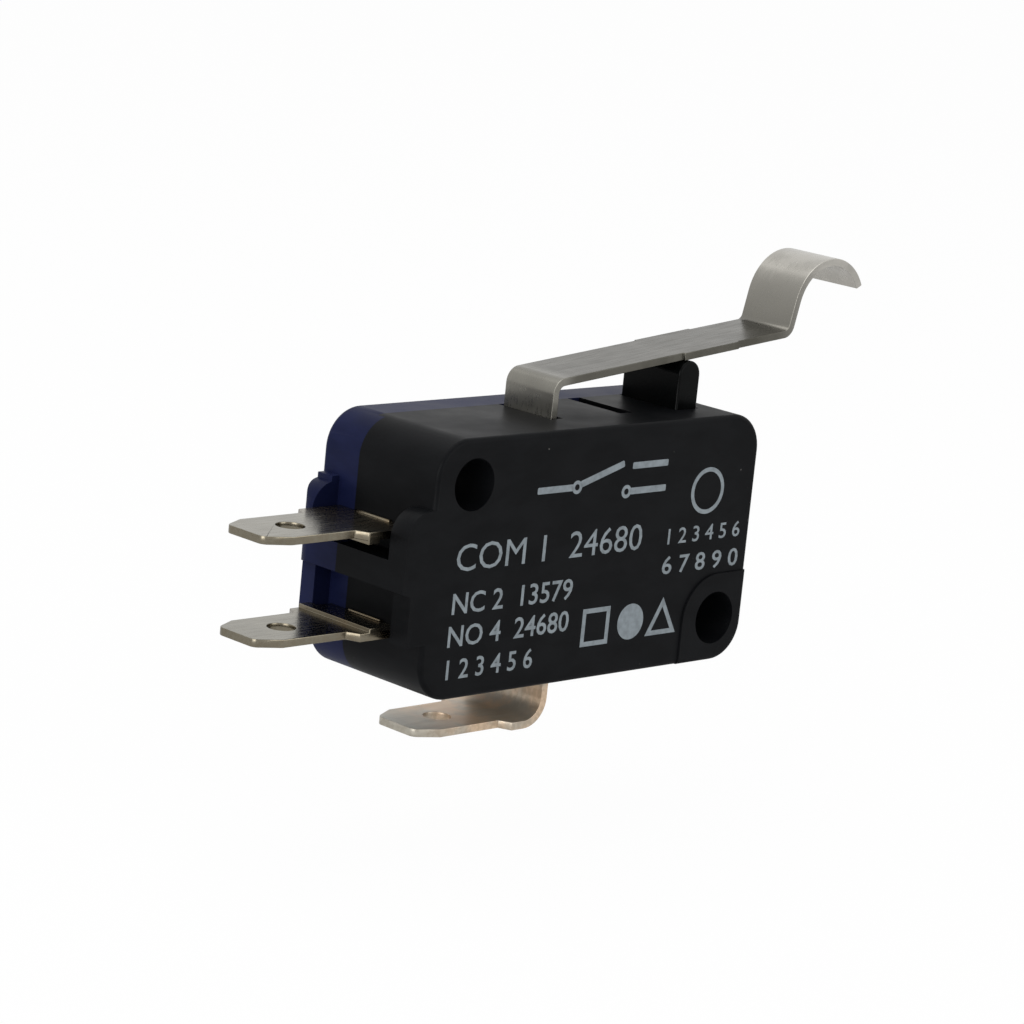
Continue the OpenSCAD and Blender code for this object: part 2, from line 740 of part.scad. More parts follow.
module inner_lever() {
    half_w = tine_gap / 2 + tine_w;
    fork_u = bar_u - bar_w / 2;
    color(blade_colour) placed() {
        translate([inner_pivot.x, mid_d, inner_pivot.y]) rotate([0, -inner_slope, 0])
            translate([0, 0, -inner_t / 2]) linear_extrude(inner_t) difference() {
                union() {
                    translate([0, -half_w]) square([bar_u + bar_w / 2 + bar_slot_l, 2 * half_w]);
                    translate([bar_u, -inner_w / 2]) square([inner_l - bar_u, inner_w]);
                }
                translate([-over, -tine_gap / 2]) square([fork_u + over, tine_gap]);
                translate([bar_u + bar_w / 2, -2 * wire_r]) square([bar_slot_l, 4 * wire_r]);
            }
        for (side = [-1, 1]) bar(inner_pivot, inner_nose_r,
            mid_d + side * (tine_gap + tine_w) / 2 - tine_w / 2,
            mid_d + side * (tine_gap + tine_w) / 2 + tine_w / 2);
    }
}

// ---- Snap spring ----

lead_l = 0.32;
lead_steps = 4;
loop_steps = 20;
turn_steps = 12;
loop_open = 50;
wire_sides = 6;
coil_from = coil_r + lead_l;
coil_l = spring_l - 2 * coil_from;

// Point at a distance along the spring's axis, and at a radius and angle round it
function round_axis(s, r, angle) = [s, r * sin(angle), r * cos(angle)];

// First loop, then the lead out to the coil
loop_points = [for (i = [0:loop_steps - 1]) let (a = loop_open + i * (360 - loop_open) / loop_steps)
    [coil_r * cos(a), 0, coil_r * sin(a)]];
lead_points = [for (i = [0:lead_steps - 1]) let (t = i / lead_steps)
    round_axis(coil_r + lead_l * t, coil_r * sin(90 * t), 30 * t - 30)];
coil_points = [for (i = [0:coil_turns * turn_steps])
    round_axis(coil_from + coil_l * i / (coil_turns * turn_steps), coil_r, 360 * i / turn_steps)];
half_path = concat(loop_points, lead_points);
// The far end is the near end turned round the spring's middle
wire_path = concat(half_path, coil_points,
    [for (i = [len(half_path) - 1:-1:0]) [spring_l - half_path[i].x, -half_path[i].y, half_path[i].z]]);

function unit(v) = v / norm(v);
function tangent(path, i) = unit(path[min(i + 1, len(path) - 1)] - path[max(i - 1, 0)]);
// Direction across the wire, carried along it without twist
function across(path) = [for (i = 0, n = [0, 1, 0]; i < len(path);
    i = i + 1, n = i < len(path) ? unit(n - tangent(path, i) * (n * tangent(path, i))) : n) n];

module wire(path, r, sides) {
    normals = across(path);
    points = [for (i = [0:len(path) - 1], k = [0:sides - 1])
        let (n = normals[i], m = cross(tangent(path, i), n), a = 360 * k / sides)
        path[i] + r * (cos(a) * n + sin(a) * m)];
    last = (len(path) - 1) * sides;
    polyhedron(points, concat(
        [[for (k = [0:sides - 1]) k]],
        [for (i = [0:len(path) - 2], k = [0:sides - 1])
            let (a = i * sides + k, b = i * sides + (k + 1) % sides) [a, a + sides, b + sides, b]],
        [[for (k = [sides - 1:-1:0]) last + k]]), convexity = 10);
}

module snap_spring() {
    color(lever_colour) placed() translate([loop_a.x, mid_d, loop_a.y]) rotate([0, -spring_slope, 0])
        wire(wire_path, wire_r, wire_sides);
}

// ---- Plunger ----

module plunger() {
    color(case_colour) placed() {
        // Crown and stem
        bar([plunger_x, crown_z], crown_r, mid_d - plunger_l / 2, mid_d + plunger_l / 2);
        box([plunger_x - crown_r, mid_d - plunger_l / 2, flange_z],
            [plunger_x + crown_r, mid_d + plunger_l / 2, crown_z]);
        // Flange that keeps it in the case
        box([plunger_x - crown_r - flange_out, mid_d - plunger_l / 2 - flange_out, flange_z],
            [plunger_x + crown_r + flange_out, mid_d + plunger_l / 2 + flange_out, flange_z + flange_h]);
        // Foot
        bar([plunger_x, foot_z], foot_r, mid_d - foot_l / 2, mid_d + foot_l / 2);
        box([plunger_x - foot_r, mid_d - foot_l / 2, foot_z],
            [plunger_x + foot_r, mid_d + foot_l / 2, flange_z + flange_h / 2]);
    }
}

// ---- Lever ----

module lever() {
    leg_l = bend_z - leg_low_z;
    wide_w = lever_w + lever_extra_w;
    color(lever_colour) placed() {
        translate([hinge_x, mid_d, leg_low_z]) rotate([0, -90, 0])
            bent_strip([[leg_l, 0, lever_w], [bend_r, arm_slope - 90, lever_w],
                        [wide_from, 0, lever_w], [wide_l, 0, wide_w],
                        [arm_l - wide_from - wide_l, 0, lever_w],
                        [tip_bend_r, tip_rise_angle, lever_w], [tip_rise_l, 0, lever_w],
                        [tip_r, -tip_angle, lever_w]], lever_t);
        // Hinge lugs
        box([hinge_x - lever_t / 2, mid_d - lug_l / 2, leg_low_z],
            [hinge_x + lever_t / 2, mid_d + lug_l / 2, leg_low_z + lug_h]);
    }
}

case();
cover();
plunger();
lever();
nc_terminal();
no_terminal();
com_terminal();
nc_contact();
no_contact();
moving_contact();
contact_blade();
inner_lever();
snap_spring();
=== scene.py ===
"""Looks of a lever micro switch: softened edges, finishes, plain printed marks and a stage."""
import math

import bpy
from mathutils import Matrix, Vector


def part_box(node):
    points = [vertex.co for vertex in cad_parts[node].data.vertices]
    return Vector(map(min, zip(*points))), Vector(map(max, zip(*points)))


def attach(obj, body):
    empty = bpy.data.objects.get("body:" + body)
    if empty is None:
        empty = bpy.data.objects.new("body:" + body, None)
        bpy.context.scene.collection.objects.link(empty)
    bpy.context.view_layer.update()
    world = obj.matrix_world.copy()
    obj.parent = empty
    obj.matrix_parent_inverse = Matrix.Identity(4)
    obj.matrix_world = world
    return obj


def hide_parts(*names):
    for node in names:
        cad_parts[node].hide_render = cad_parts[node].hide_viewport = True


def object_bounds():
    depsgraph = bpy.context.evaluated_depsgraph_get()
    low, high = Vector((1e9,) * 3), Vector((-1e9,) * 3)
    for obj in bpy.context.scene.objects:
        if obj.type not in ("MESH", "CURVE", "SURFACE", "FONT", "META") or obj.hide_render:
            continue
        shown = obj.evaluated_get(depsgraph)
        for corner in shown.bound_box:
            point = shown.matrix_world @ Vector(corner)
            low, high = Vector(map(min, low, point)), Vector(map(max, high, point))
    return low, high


bl_info = {
    "name": "Lever micro switch",
    "version": (1, 0, 0),
    "blender": (4, 5, 0),
    "location": "3D View > Sidebar > Micro switch",
    "description": "Builds the finished look of a lever micro switch on its frame",
    "category": "Object",
}

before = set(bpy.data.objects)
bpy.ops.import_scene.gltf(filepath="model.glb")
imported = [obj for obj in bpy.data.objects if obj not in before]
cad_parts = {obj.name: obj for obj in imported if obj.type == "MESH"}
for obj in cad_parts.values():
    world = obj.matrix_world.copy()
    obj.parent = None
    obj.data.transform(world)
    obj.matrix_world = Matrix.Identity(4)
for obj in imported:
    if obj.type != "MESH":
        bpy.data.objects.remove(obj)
LOW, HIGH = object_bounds()
CASE_LOW, CASE_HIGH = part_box("case")
MM = 0.001
MERGE_DISTANCE = 0.0005 * MM
SMOOTH_ANGLE = 38  # degrees between faces, below which a bevelled piece is shaded smooth


# ---- Node helpers ----


def new_material(name):
    """An empty node material with its output and shader, and the object's own coordinates."""
    finish = bpy.data.materials.new(name)
    finish.use_nodes = True
    tree = finish.node_tree
    tree.nodes.clear()
    out = tree.nodes.new("ShaderNodeOutputMaterial")
    shader = tree.nodes.new("ShaderNodeBsdfPrincipled")
    tree.links.new(shader.outputs["BSDF"], out.inputs["Surface"])
    place = tree.nodes.new("ShaderNodeTexCoord")
    return finish, tree, shader, place.outputs["Object"]


def mapped(tree, source, scale):
    """The coordinates stretched by three factors."""
    node = tree.nodes.new("ShaderNodeMapping")
    node.inputs["Scale"].default_value = scale
    tree.links.new(source, node.inputs["Vector"])
    return node.outputs["Vector"]


def noise(tree, source, scale, detail=3.0, roughness=0.55):
    """Noise of a given number of waves to the metre."""
    node = tree.nodes.new("ShaderNodeTexNoise")
    node.inputs["Scale"].default_value = scale
    node.inputs["Detail"].default_value = detail
    node.inputs["Roughness"].default_value = roughness
    tree.links.new(source, node.inputs["Vector"])
    return node.outputs["Fac"]


def span(tree, source, from_low, from_high, to_low, to_high, smooth=False):
    """A value moved from one range to another and kept inside it."""
    node = tree.nodes.new("ShaderNodeMapRange")
    node.interpolation_type = "SMOOTHSTEP" if smooth else "LINEAR"
    ends = {"From Min": from_low, "From Max": from_high, "To Min": to_low, "To Max": to_high}
    for name, value in ends.items():
        node.inputs[name].default_value = value
    tree.links.new(source, node.inputs["Value"])
    return node.outputs["Result"]


def math_of(tree, operation, a, b=0.5):
    """Two values put together."""
    node = tree.nodes.new("ShaderNodeMath")
    node.operation = operation
    for socket, value in zip(node.inputs, (a, b)):
        if isinstance(value, (int, float)):
            socket.default_value = value
        else:
            tree.links.new(value, socket)
    return node.outputs["Value"]


def mix(tree, amount, a, b, blend="MIX"):
    """One colour over another by an amount."""
    node = tree.nodes.new("ShaderNodeMix")
    node.data_type = "RGBA"
    node.blend_type = blend
    for socket, value in ((node.inputs[0], amount), (node.inputs[6], a), (node.inputs[7], b)):
        if isinstance(value, (int, float)):
            socket.default_value = value
        elif isinstance(value, tuple):
            socket.default_value = (*value, 1.0)[:4]
        else:
            tree.links.new(value, socket)
    return node.outputs[2]


def axes(tree, source):
    """The three coordinates by themselves."""
    node = tree.nodes.new("ShaderNodeSeparateXYZ")
    tree.links.new(source, node.inputs["Vector"])
    return node.outputs["X"], node.outputs["Y"], node.outputs["Z"]


def facing(tree):
    """The way that the surface faces, in the piece's own space."""
    node = tree.nodes.new("ShaderNodeTexCoord")
    return node.outputs["Normal"]


def bumped(tree, shader, height, strength, distance):
    """Gives the shader's surface a relief."""
    node = tree.nodes.new("ShaderNodeBump")
    node.inputs["Strength"].default_value = strength
    node.inputs["Distance"].default_value = distance
    tree.links.new(height, node.inputs["Height"])
    tree.links.new(node.outputs["Normal"], shader.inputs["Normal"])


def scaled(colour, factor):
    """A colour made darker or lighter."""
    return tuple(c * factor for c in colour)


def linear(*colour):
    """A colour as a screen shows it, from 0 to 255, in the light's own values."""
    return tuple(c / 255 / 12.92 if c <= 10.3 else ((c / 255 + 0.055) / 1.055) ** 2.4 for c in colour)


# ---- Finishes ----

DUST_COLOUR = (0.30, 0.29, 0.27)
CUT_EDGE_COLOUR = linear(96, 78, 54)
CLOUD_SPREAD = 0.08  # how far a metal's slow patches lie from its own tone


def moulded_plastic(name, colour, rough, sheen, dust=0.0):
    """Glass-filled moulding: fine grain, slow patches in its gloss, and a few dust specks."""
    finish, tree, shader, place = new_material(name)
    grain = noise(tree, place, 9000, 2.0)
    flow = noise(tree, mapped(tree, place, (1.0, 1.0, 2.2)), 260, 4.0)
    light = tuple(min(1.0, c * 1.17 + 0.001) for c in colour)
    base = mix(tree, span(tree, flow, 0.35, 0.65, 0.0, 1.0, True), scaled(colour, 0.87), light)
    if dust > 0:
        speck = tree.nodes.new("ShaderNodeTexVoronoi")
        speck.inputs["Scale"].default_value = 900
        tree.links.new(place, speck.inputs["Vector"])
        near = span(tree, speck.outputs["Distance"], 0.03, 0.07, 1.0, 0.0, True)
        few = span(tree, noise(tree, place, 1500, 1.0), 0.60, 0.63, 0.0, dust)
        base = mix(tree, math_of(tree, "MULTIPLY", near, few), base, DUST_COLOUR)
    gloss = span(tree, flow, 0.3, 0.7, rough - 0.05, rough + 0.06)
    tree.links.new(base, shader.inputs["Base Color"])
    tree.links.new(gloss, shader.inputs["Roughness"])
    shader.inputs["Specular IOR Level"].default_value = sheen
    bumped(tree, shader, grain, 0.18, 0.00002)
    return finish


def rolled_metal(name, colour, rough, along, bands=0.0, stains_and_painted_light=(), shear=0.0, metal=1.0, relief=0.1):
    """Sheet metal with rolling lines, slow changes of tone, darker bands across the strip, darker cut edges
    and tints along X.

    Each tint along X is a colour, the two places along X between which it grows, and its least strength
    there. Tints serve for real stain and for painted light and shade alike.
    """
    finish, tree, shader, place = new_material(name)
    lines = noise(tree, mapped(tree, place, along), 5200, 3.0, 0.6)
    cloud = noise(tree, place, 330, 3.0)
    dark = tuple(c * (1.0 - CLOUD_SPREAD) for c in colour)
    light = tuple(min(1.0, c * (1.0 + CLOUD_SPREAD)) for c in colour)
    base = mix(tree, span(tree, cloud, 0.3, 0.7, 0.0, 1.0, True), dark, light)
    base = mix(tree, span(tree, lines, 0.35, 0.7, 0.0, 0.2), base, scaled(colour, 0.7))
    if bands > 0:
        # Darker bands across the strip, at random places along it.
        across_bands = noise(tree, mapped(tree, place, (1.0, 0.05, 1.0)), 620, 2.0)
        base = mix(tree, span(tree, across_bands, 0.5, 0.68, 0.0, bands, True), base, scaled(colour, 0.45))
    # Each tint, real stain and painted light and shade alike, grows between two places along X and stays
    # full beyond them.
    for tint, low, high, least in stains_and_painted_light:
        patch = span(tree, noise(tree, place, 420, 4.0), 0.38, 0.62, least, 1.0, True)
        near = span(tree, axes(tree, place)[0], low, high, 0.0, 0.9, True)
        base = mix(tree, math_of(tree, "MULTIPLY", near, patch), base, tint)
    if shear > 0:
        up = math_of(tree, "ABSOLUTE", axes(tree, facing(tree))[2])
        cut = span(tree, up, 0.35, 0.85, shear, 0.0, True)
        worn = span(tree, noise(tree, place, 3200, 3.0), 0.4, 0.6, 0.6, 1.0, True)
        base = mix(tree, math_of(tree, "MULTIPLY", cut, worn), base, CUT_EDGE_COLOUR)
    gloss = span(tree, lines, 0.3, 0.7, rough - 0.05, rough + 0.07)
    tree.links.new(base, shader.inputs["Base Color"])
    tree.links.new(gloss, shader.inputs["Roughness"])
    shader.inputs["Metallic"].default_value = metal
    bumped(tree, shader, lines, relief, 0.00001)
    return finish


def printed_ink(name, colour):
    """Pale ink, thinner in places, so that the moulding shows through."""
    finish, tree, shader, place = new_material(name)
    worn = noise(tree, place, 2600, 3.0)
    base = mix(tree, span(tree, worn, 0.35, 0.75, 0.0, 0.55), colour, scaled(colour, 0.45))
    tree.links.new(base, shader.inputs["Base Color"])
    shader.inputs["Roughness"].default_value = 0.75
    shader.inputs["Specular IOR Level"].default_value = 0.15
    bumped(tree, shader, worn, 0.1, 0.00001)
    return finish


ROLLED_ALONG = (0.07, 1.0, 1.0)  # the rolling lines are stretched out along X
EVEN = (1.0, 1.0, 1.0)
FINISHES = {}


def finishes():
    """Every finish of the switch, made once."""
    if not FINISHES:
        tone = bpy.context.scene.switch_colours
        bend_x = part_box("com_terminal")[1].x - 6 * MM
        leg_x, tip_x = (corner.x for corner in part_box("lever"))
        # Painted shade: the lever's steel is darkened from just past its leg end along X.
        leg_painted_shade = (linear(79, 77, 70), leg_x + 0.6 * MM, leg_x + 2 * MM, 0.8)
        # Painted highlight: the lever's steel is lightened towards its tip.
        tip_painted_light = (linear(188, 185, 178), tip_x - 8 * MM, tip_x - 4 * MM, 0.8)
        slot_stain = (linear(134, 121, 100), CASE_LOW.x - 3 * MM, CASE_LOW.x + 1 * MM, 0.25)
        # Tan tint at the base tab's bend: partly the tab's own discoloration, partly painted light standing
        # in for light thrown between its leg and tab.
        bend_tint_and_painted_light = (linear(228, 200, 170), bend_x - 4 * MM, bend_x + 1 * MM, 0.25)
        FINISHES.update(
            case=moulded_plastic("black_case_moulding", tuple(tone.case), 0.44, 0.055, 0.35),
            cover=moulded_plastic("blue_cover_moulding", tuple(tone.cover), 0.42, 0.06, 0.25),
            plunger=moulded_plastic("plunger_moulding", tuple(tone.plunger), 0.24, 0.06, 0.15),
            # The lever's tints along X are painted shade and a painted highlight.
            lever=rolled_metal("lever_stainless", tuple(tone.lever), 0.29, (0.06, 1.0, 0.3), bands=0.3,
                               stains_and_painted_light=(leg_painted_shade, tip_painted_light), relief=0.04),
            tin=rolled_metal("tinned_terminals", tuple(tone.end_tabs), 0.23, ROLLED_ALONG,
                             stains_and_painted_light=(slot_stain,), shear=0.3),
            # The base tab's tint at its bend is part discoloration and part painted light.
            warm_tin=rolled_metal("warm_tinned_terminal", tuple(tone.base_tab), 0.38, ROLLED_ALONG,
                                  stains_and_painted_light=(bend_tint_and_painted_light,), shear=0.4, metal=0.7),
            silver=rolled_metal("silver_contacts", linear(200, 200, 196), 0.24, EVEN),
            copper=rolled_metal("copper_blade", linear(190, 128, 84), 0.30, (0.06, 1.0, 1.0)),
            spring=rolled_metal("spring_wire", linear(140, 142, 148), 0.28, EVEN),
            ink=printed_ink("pale_ink", tuple(tone.ink)),
        )
    return FINISHES


# ---- Mesh helpers ----


def pick_only(*things):
    """Selects these objects and nothing else."""
    bpy.ops.object.select_all(action="DESELECT")
    for thing in things:
        thing.select_set(True)
    bpy.context.view_layer.objects.active = things[0]


def smooth_copy(node, name, angle):
    """A clean copy of a frame node's mesh, with its triangles joined and its flat faces whole again."""
    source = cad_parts[node]
    mesh = source.data.copy()
    mesh.name = name
    piece = bpy.data.objects.new(name, mesh)
    bpy.context.scene.collection.objects.link(piece)
    mesh.materials.clear()
    pick_only(piece)
    bpy.ops.object.mode_set(mode="EDIT")
    bpy.ops.mesh.select_all(action="SELECT")
    bpy.ops.mesh.customdata_custom_splitnormals_clear()
    bpy.ops.mesh.remove_doubles(threshold=MERGE_DISTANCE)
    bpy.ops.mesh.dissolve_limited(angle_limit=math.radians(angle), use_dissolve_boundaries=False)
    bpy.ops.object.mode_set(mode="OBJECT")
    return piece


def bevelled(piece, width, segments, smooth=30, slivers=0.0):
    """Rounds the piece's sharp edges and shades its curves smooth, with its flat faces kept flat.

    Edges shorter than slivers, which a bevel leaves in tight notches, are closed up.
    """
    pick_only(piece)
    edge = piece.modifiers.new("edge_rounding", "BEVEL")
    edge.width = width
    edge.segments = segments
    edge.limit_method = "ANGLE"
    edge.angle_limit = math.radians(smooth)
    edge.use_clamp_overlap = True
    edge.harden_normals = False
    bpy.ops.object.modifier_apply(modifier=edge.name)
    if slivers:
        bpy.ops.object.mode_set(mode="EDIT")
        bpy.ops.mesh.select_all(action="SELECT")
        bpy.ops.mesh.dissolve_degenerate(threshold=slivers)
        bpy.ops.object.mode_set(mode="OBJECT")
    bpy.ops.object.shade_smooth_by_angle(angle=math.radians(SMOOTH_ANGLE))
    flat = piece.modifiers.new("flat_faces", "WEIGHTED_NORMAL")
    flat.mode = "FACE_AREA"
    flat.keep_sharp = True
    bpy.ops.object.modifier_apply(modifier=flat.name)
    return piece


def dressed(piece, finish, body, slot, *nodes):
    """Gives a piece its finish and its body, and hides the nodes that it stands for."""
    piece.data.materials.clear()
    piece.data.materials.append(finish)
    if nodes:
        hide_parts(*nodes)
    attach(piece, body)
    return piece


def coat(node, finish):
    """Gives a carried-over node its finish."""
    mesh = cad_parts[node].data
    mesh.materials.clear()
    mesh.materials.append(finish)
    for face in mesh.polygons:
        face.material_index = 0
    pick_only(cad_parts[node])
    bpy.ops.object.shade_smooth_by_angle(angle=math.radians(30))


# ---- Sizes and colours that a user would change ----


class SwitchEdges(bpy.types.PropertyGroup):
    """Rounding of the edges that moulds and press tools leave."""

    metal: bpy.props.FloatProperty(
        name="Metal edges", description="Rounding of the sheet metal's edges",
        default=0.05 * MM, min=0.01 * MM, max=0.12 * MM, unit="LENGTH", precision=5)
    plunger: bpy.props.FloatProperty(
        name="Plunger edges", description="Rounding of the plunger's ends",
        default=0.16 * MM, min=0.02 * MM, max=0.3 * MM, unit="LENGTH", precision=5)
    plastic: bpy.props.FloatProperty(
        name="Moulded edges", description="Rounding of the housing's sharp edges",
        default=0.06 * MM, min=0.01 * MM, max=0.12 * MM, unit="LENGTH", precision=5)
    spare_slot: bpy.props.FloatProperty(
        name="Spare slot", description="Width of the spare hinge slot's mouth",
        default=1.1 * MM, min=0.5 * MM, max=1.6 * MM, unit="LENGTH", precision=5)


class SwitchColours(bpy.types.PropertyGroup):
    """Base colours of the finishes, before their patches, lines, stain tints and painted light and shade."""

    case: bpy.props.FloatVectorProperty(
        name="Case", description="Colour of the front moulding",
        default=linear(10, 11, 13), min=0.0, max=1.0, subtype="COLOR")
    cover: bpy.props.FloatVectorProperty(
        name="Cover", description="Colour of the back moulding",
        default=linear(18, 23, 52), min=0.0, max=1.0, subtype="COLOR")
    plunger: bpy.props.FloatVectorProperty(
        name="Plunger", description="Colour of the plunger",
        default=linear(3, 4, 4), min=0.0, max=1.0, subtype="COLOR")
    lever: bpy.props.FloatVectorProperty(
        name="Lever", description="Colour of the lever's steel",
        default=linear(128, 126, 119), min=0.0, max=1.0, subtype="COLOR")
    end_tabs: bpy.props.FloatVectorProperty(
        name="End tabs", description="Colour of the two tabs at the end",
        default=linear(126, 122, 109), min=0.0, max=1.0, subtype="COLOR")
    base_tab: bpy.props.FloatVectorProperty(
        name="Base tab", description="Colour of the tab below the base",
        default=linear(184, 181, 170), min=0.0, max=1.0, subtype="COLOR")
    ink: bpy.props.FloatVectorProperty(
        name="Ink", description="Colour of the printed marks",
        default=linear(128, 136, 141), min=0.0, max=1.0, subtype="COLOR")


class SwitchPrint(bpy.types.PropertyGroup):
    """The plain marks on the front of the case."""

    stroke: bpy.props.FloatProperty(
        name="Line width", description="Width of the printed lines",
        default=0.28 * MM, min=0.1 * MM, max=0.6 * MM, unit="LENGTH", precision=5)
    digit_height: bpy.props.FloatProperty(
        name="Numeral height", description="Height of the printed numerals",
        default=1.6 * MM, min=0.8 * MM, max=2.5 * MM, unit="LENGTH", precision=5)


class SwitchStage(bpy.types.PropertyGroup):
    """Floor, light and camera."""

    lens: bpy.props.FloatProperty(
        name="Lens", description="Focal length in millimetres on a 36 mm sensor",
        default=128.187, min=50.0, max=200.0)
    floor_drop: bpy.props.FloatProperty(
        name="Floor drop", description="Distance of the floor below the switch",
        default=7 * MM, min=0.0, max=40 * MM, unit="LENGTH", precision=5)
    key_light: bpy.props.FloatProperty(
        name="Main light", description="Power of the main light",
        default=1.0, min=0.1, max=5.0)


# ---- Housing ----

BODY_LENGTH, BODY_HEIGHT = 27.8 * MM, 15.9 * MM
HOLE_HEIGHT = 2.8 * MM  # of the lower hole above the base
FRONT_DEPTH = 0.12 * MM  # of the case's front behind the pad round that hole
# The front's lower corner at the terminal end, from which the marks and the spare slot are placed
CORNER = Vector((CASE_HIGH.x - BODY_LENGTH, FRONT_DEPTH, -HOLE_HEIGHT))
SPARE_X, SPARE_FRONT, SPARE_BACK = 18.3 * MM, 2.85 * MM, 7.7 * MM
SPARE_CUT = 2.0 * MM  # height of the block that cuts the mouth, half of it below the top face


def widen_spare_slot(piece, width):
    """Opens the mouth of the spare hinge slot, down to its pocket's roof."""
    bpy.ops.object.select_all(action="DESELECT")
    bpy.ops.mesh.primitive_cube_add(size=1.0)
    tool = bpy.context.active_object
    tool.data.transform(Matrix.Diagonal((width, SPARE_BACK - SPARE_FRONT, SPARE_CUT, 1)))
    middle = Vector((SPARE_X, (SPARE_FRONT + SPARE_BACK) / 2, BODY_HEIGHT))
    tool.data.transform(Matrix.Translation(CORNER + middle))
    cut = piece.modifiers.new("spare_slot", "BOOLEAN")
    cut.operation = "DIFFERENCE"
    cut.solver = "EXACT"
    cut.object = tool
    pick_only(piece)
    bpy.ops.object.modifier_apply(modifier=cut.name)
    bpy.data.objects.remove(tool)


class SWITCH_OT_housing(bpy.types.Operator):
    """Case and cover with softened edges and their moulded finishes"""

    bl_idname = "switch.housing"
    bl_label = "Housing"

    def execute(self, context):
        edges = context.scene.switch_edges
        for node in ("case", "cover"):
            piece = smooth_copy(node, node + "_moulded", 1.0)
            if node == "case":
                widen_spare_slot(piece, edges.spare_slot)
            bevelled(piece, edges.plastic, 2, 40)
            dressed(piece, finishes()[node], "housing", node + "_plastic", node)
        return {"FINISHED"}


# ---- Plunger ----


class SWITCH_OT_plunger(bpy.types.Operator):
    """Plunger with rounded ends on its crown"""

    bl_idname = "switch.plunger"
    bl_label = "Plunger"

    def execute(self, context):
        piece = smooth_copy("plunger", "plunger_moulded", 1.0)
        bevelled(piece, context.scene.switch_edges.plunger, 3)
        dressed(piece, finishes()["plunger"], "button", "plunger_plastic", "plunger")
        return {"FINISHED"}


# ---- Lever ----


class SWITCH_OT_lever(bpy.types.Operator):
    """Lever with the softened edges of a stamped strip"""

    bl_idname = "switch.lever"
    bl_label = "Lever"

    def execute(self, context):
        piece = smooth_copy("lever", "lever_strip", 0.5)
        bevelled(piece, context.scene.switch_edges.metal, 2, 35)
        dressed(piece, finishes()["lever"], "lever_arm", "lever_steel", "lever")
        return {"FINISHED"}


# ---- Terminals ----


class SWITCH_OT_terminals(bpy.types.Operator):
    """Three push-on terminals with softened edges"""

    bl_idname = "switch.terminals"
    bl_label = "Terminals"

    def execute(self, context):
        for node in ("nc_terminal", "no_terminal", "com_terminal"):
            piece = smooth_copy(node, node + "_tinned", 0.5)
            bevelled(piece, context.scene.switch_edges.metal, 2, 35, MERGE_DISTANCE)
            finish = "warm_tin" if node == "com_terminal" else "tin"
            dressed(piece, finishes()[finish], "housing", "terminal_tin", node)
        return {"FINISHED"}


# ---- Snap mechanism ----

INNER_FINISHES = {
    "nc_contact": "silver",
    "no_contact": "silver",
    "moving_contact": "silver",
    "contact_blade": "copper",
    "inner_lever": "copper",
    "snap_spring": "spring",
}


class SWITCH_OT_mechanism(bpy.types.Operator):
    """Finishes of the contacts, blade, inner lever and spring"""

    bl_idname = "switch.mechanism"
    bl_label = "Snap mechanism"

    def execute(self, context):
        for node, finish in INNER_FINISHES.items():
            coat(node, finishes()[finish])
        return {"FINISHED"}


# ---- Printed marks ----

INK_DEPTH = 0.113 * MM  # just clear of the case's front
CAPITAL_SHARE = 0.70  # of the letter size that a capital's height takes

# Places and sizes below are in millimetres, along and up from the corner of the case's front
DIAGRAM_BARS = (
    ((8.3, 12.3), (11.3, 12.3)),
    ((11.95, 12.45), (15.6, 13.5)),
    ((16.35, 13.3), (19.5, 13.3)),
    ((16.35, 11.7), (19.5, 11.7)),
)
DIAGRAM_PIVOTS, PIVOT_R = ((11.65, 12.3), (16.0, 11.7)), 0.42
RING_AT, RING_R = (23.4, 11.2), 1.5
SQUARE_AT, SQUARE_R = (14.5, 3.3), 1.7
DISC_AT, DISC_R = (17.6, 3.3), 1.15
TRIANGLE_AT, TRIANGLE_R = (20.4, 3.0), 1.6
# Name, words, place, height as a share of the numerals' height, stretch along X, and boldness as a share too
ROWS = (
    ("row_common", "COM 1  24680", 2.0, 7.9, 1.04, 1.09, 0.0),
    ("row_closed", "NC 2  13579", 2.0, 5.3, 0.8, 1.05, 0.012),
    ("row_open", "NO 4  24680", 1.9, 3.3, 0.8, 1.03, 0.012),
    ("row_scale", "1 2 3 4 5 6", 1.8, 1.3, 0.75, 1.0, 0.012),
    ("row_right_high", "1 2 3 4 5 6", 19.9, 8.0, 0.62, 1.12, 0.008),
    ("row_right_low", "6 7 8 9 0", 19.9, 6.1, 0.7, 1.22, 0.012),
)


def ink_place(x, z):
    """Place on the case's front, from millimetres along and up from its corner."""
    return (CORNER.x + x * MM, INK_DEPTH, CORNER.z + z * MM)


def ink_bar(a, b, width):
    """Straight line of ink between two places, with its ends' corners taken off."""
    along = Vector((b[0] - a[0], b[1] - a[1]))
    middle = ((a[0] + b[0]) / 2, (a[1] + b[1]) / 2)
    bpy.ops.object.select_all(action="DESELECT")
    bpy.ops.mesh.primitive_plane_add(size=1.0)
    bar = bpy.context.active_object
    bar.data.transform(Matrix.Diagonal((along.length * MM, width * MM, 1, 1)))
    bpy.ops.object.mode_set(mode="EDIT")
    bpy.ops.mesh.select_all(action="SELECT")
    bpy.ops.mesh.bevel(offset=width * 0.2 * MM, segments=2, affect="VERTICES")
    bpy.ops.object.mode_set(mode="OBJECT")
    bar.data.transform(Matrix.Rotation(math.atan2(along.y, along.x), 4, "Z"))
    return set_on_front(bar, middle)


